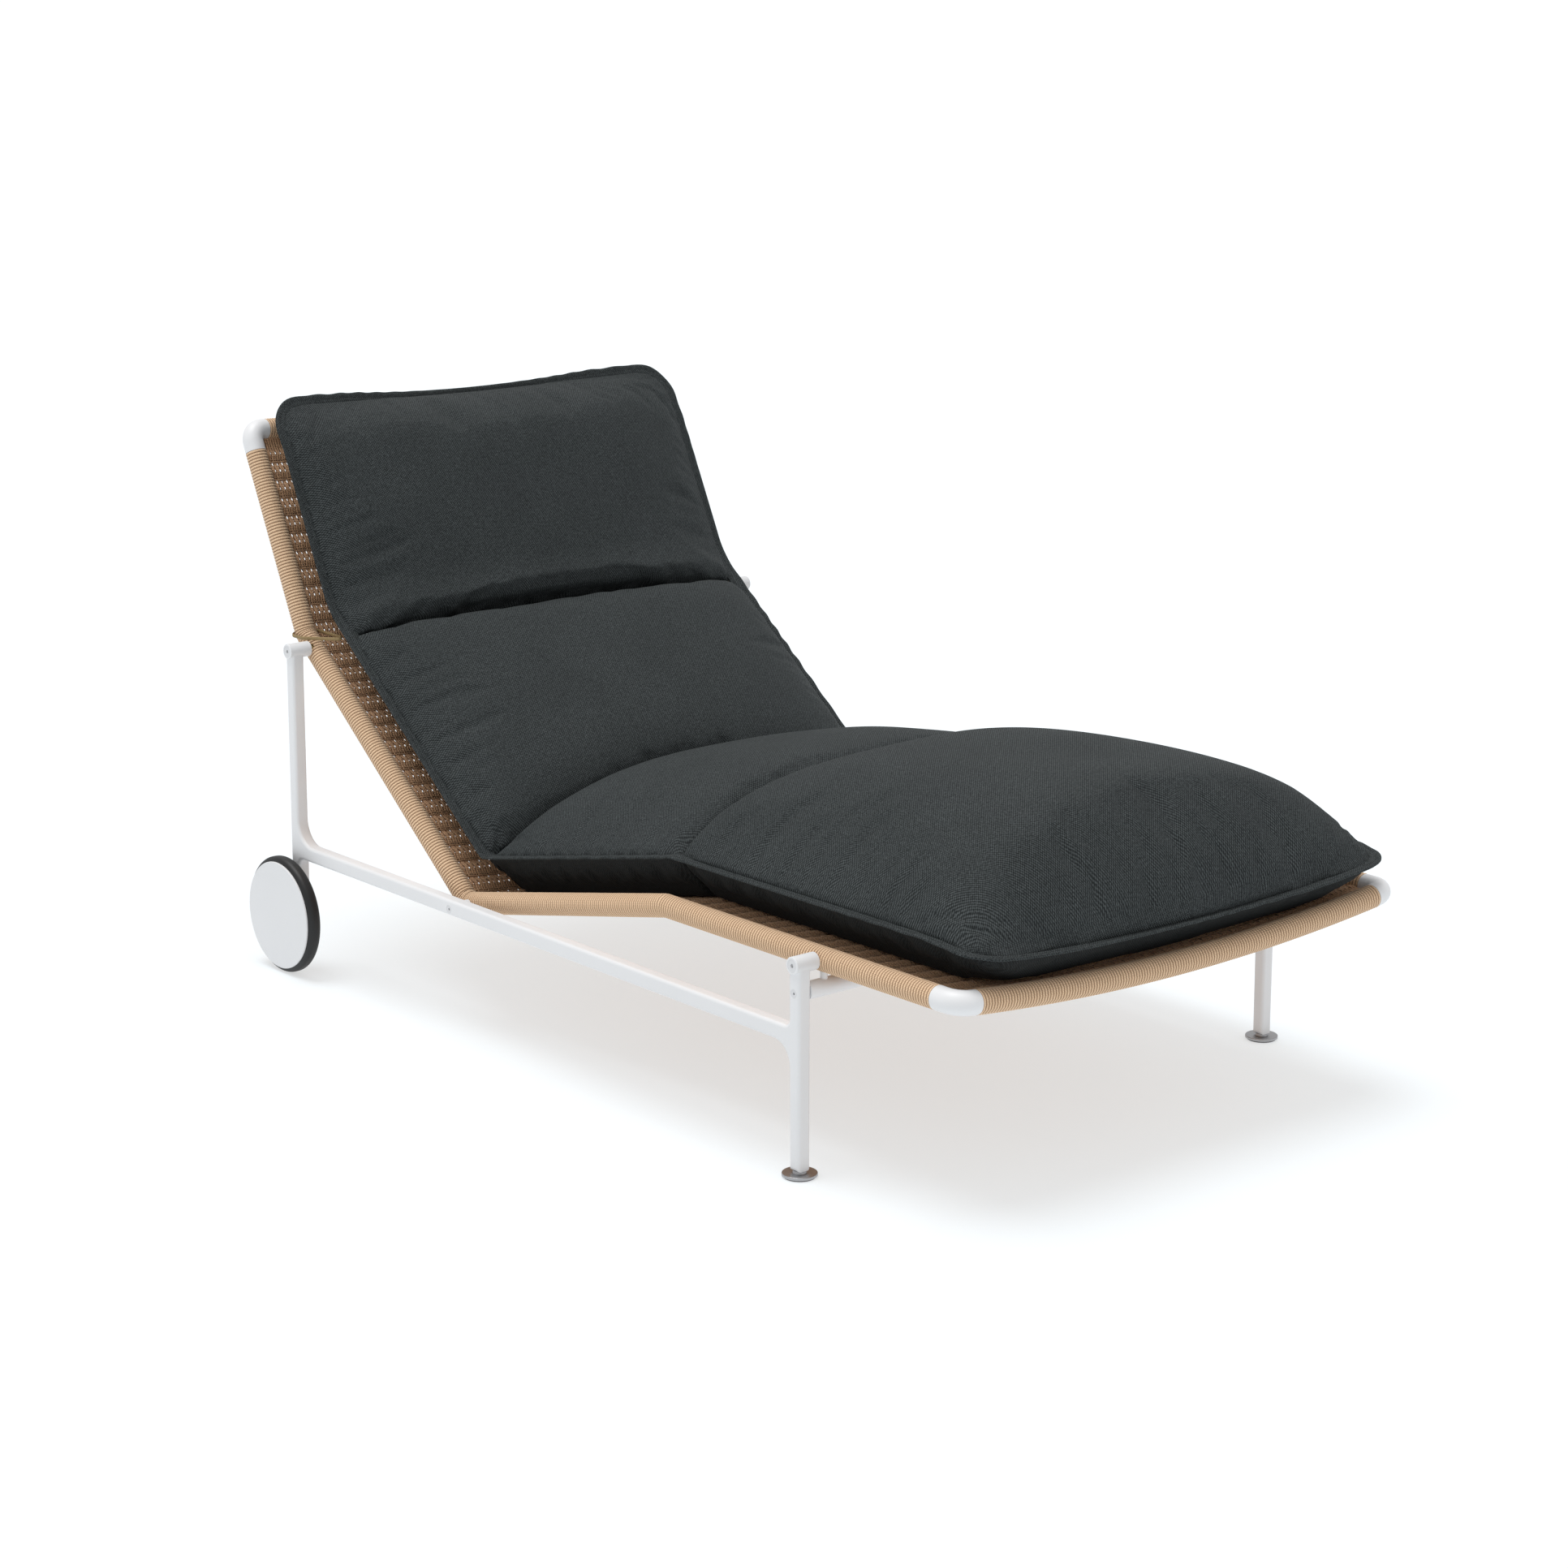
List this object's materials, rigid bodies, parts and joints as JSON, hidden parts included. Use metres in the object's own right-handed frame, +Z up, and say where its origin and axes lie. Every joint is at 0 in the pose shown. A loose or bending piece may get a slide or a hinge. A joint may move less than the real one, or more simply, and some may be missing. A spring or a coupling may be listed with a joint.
{
  "type": "sun lounger",
  "caption": "Low wheeled outdoor lounger: a cord-wrapped tube shell with a woven deck and a segmented cushion, held between two cast side frames.",
  "frame": {"origin": "on the floor, under the middle of the overall box", "axes": "+Z up, +Y towards the head end, +X across the lounger"},
  "size_m": [0.905, 1.5737, 0.8236],
  "materials": {
    "white_powder_coat": "fine satin powder coat on cast and tube aluminium",
    "natural_cord": "twisted natural-coloured outdoor cord wound side by side",
    "woven_cord": "the same cord woven into an open deck",
    "cushion_fabric": "charcoal basket-weave outdoor fabric",
    "elastic": "braided elastic strap",
    "tyre_rubber": "smooth black solid tyre",
    "wheel_plastic": "moulded plastic wheel body",
    "bush_plastic": "self-lubricating plastic bush",
    "white_cover": "satin white wheel cover",
    "foot_pad": "grey pad under the foot",
    "brass_insert": "machined threaded insert",
    "satin_steel": "satin turned stainless steel",
    "white_screws": "white-coated countersunk socket screw",
    "axle_steel": "ground stainless pin and rings"
  },
  "bodies": {
    "lounger_frame": {"axle_ring_left": "axle_steel", "axle_ring_right": "axle_steel", "axle_washers": "axle_steel", "boss_bolts": "white_screws", "cord_wrap_back_left": "natural_cord", "cord_wrap_back_right": "natural_cord", "cord_wrap_foot_bar": "natural_cord", "cord_wrap_head_bar": "natural_cord", "cord_wrap_head_left": "natural_cord", "cord_wrap_head_right": "natural_cord", "cord_wrap_leg_left": "natural_cord", "cord_wrap_leg_right": "natural_cord", "cord_wrap_seat_left": "natural_cord", "cord_wrap_seat_right": "natural_cord", "corner_bolts": "white_screws", "crossbar_bolts": "white_screws", "crossbar_plugs": "white_powder_coat", "cushion_back": "cushion_fabric", "cushion_head": "cushion_fabric", "cushion_leg": "cushion_fabric", "cushion_seat": "cushion_fabric", "foot_bar": "white_powder_coat", "foot_elbow_left": "white_powder_coat", "foot_elbow_right": "white_powder_coat", "front_crossbar": "white_powder_coat", "glide_insert_left": "brass_insert", "glide_insert_right": "brass_insert", "head_bar": "white_powder_coat", "head_elbow_left": "white_powder_coat", "head_elbow_right": "white_powder_coat", "neck_strap_left": "elastic", "neck_strap_right": "elastic", "shell_inserts": "brass_insert", "shell_spacers": "white_powder_coat", "side_frame_left": "white_powder_coat", "side_frame_right": "white_powder_coat", "side_tube_left": "white_powder_coat", "side_tube_right": "white_powder_coat", "stand_offs": "white_powder_coat", "wheel_axle_left": "axle_steel", "wheel_axle_right": "axle_steel", "woven_back": "woven_cord", "woven_head": "woven_cord", "woven_leg": "woven_cord", "woven_seat": "woven_cord"},
    "wheel_left": {"wheel_tyre_left": "tyre_rubber", "wheel_rim_left": "wheel_plastic", "wheel_bush_left": "bush_plastic", "wheel_cover_left": "white_cover"},
    "foot_left": {"glide_left": "satin_steel", "glide_pad_left": "foot_pad"},
    "wheel_right": {"wheel_tyre_right": "tyre_rubber", "wheel_rim_right": "wheel_plastic", "wheel_bush_right": "bush_plastic", "wheel_cover_right": "white_cover"},
    "foot_right": {"glide_right": "satin_steel", "glide_pad_right": "foot_pad"}
  },
  "joints": [
    {"name": "wheel_left_spin", "type": "hinge", "parent": "lounger_frame", "child": "wheel_left", "pos_m": [-0.44, 0.5846, 0.085], "axis": [1, 0, 0], "continuous": true},
    {"name": "foot_left_level", "type": "slide", "parent": "lounger_frame", "child": "foot_left", "axis": [0, 0, -1], "range_m": [0, 0.008]},
    {"name": "wheel_right_spin", "type": "hinge", "parent": "lounger_frame", "child": "wheel_right", "pos_m": [0.44, 0.5846, 0.085], "axis": [1, 0, 0], "continuous": true},
    {"name": "foot_right_level", "type": "slide", "parent": "lounger_frame", "child": "foot_right", "axis": [0, 0, -1], "range_m": [0, 0.008]}
  ]
}
